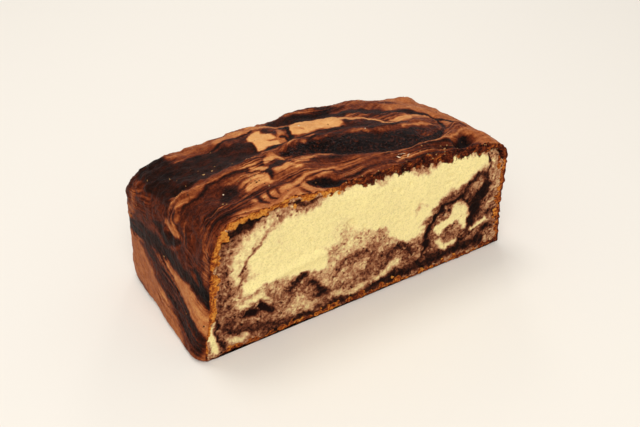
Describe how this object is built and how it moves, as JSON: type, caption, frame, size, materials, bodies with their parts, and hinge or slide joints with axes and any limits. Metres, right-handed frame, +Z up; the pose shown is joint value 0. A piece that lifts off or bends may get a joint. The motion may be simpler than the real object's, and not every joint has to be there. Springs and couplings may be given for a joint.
{
  "type": "marble loaf cake",
  "caption": "Marble loaf cake, cut lengthwise: flat base, leaning crust walls, domed cracked top and one long cut face of yellow and chocolate crumb.",
  "frame": {"origin": "centre of the base of the bounding box, on the surface that the cake rests on", "axes": "+Z up, +X along the loaf, -Y out of the long cut face, +Y towards the back wall"},
  "size_m": [0.2008, 0.0956, 0.0852],
  "materials": {
    "cake": "baked cake crust with an open crumb on the cut face"
  },
  "bodies": {
    "root": {"marble_loaf_cake": "cake"}
  },
  "joints": []
}
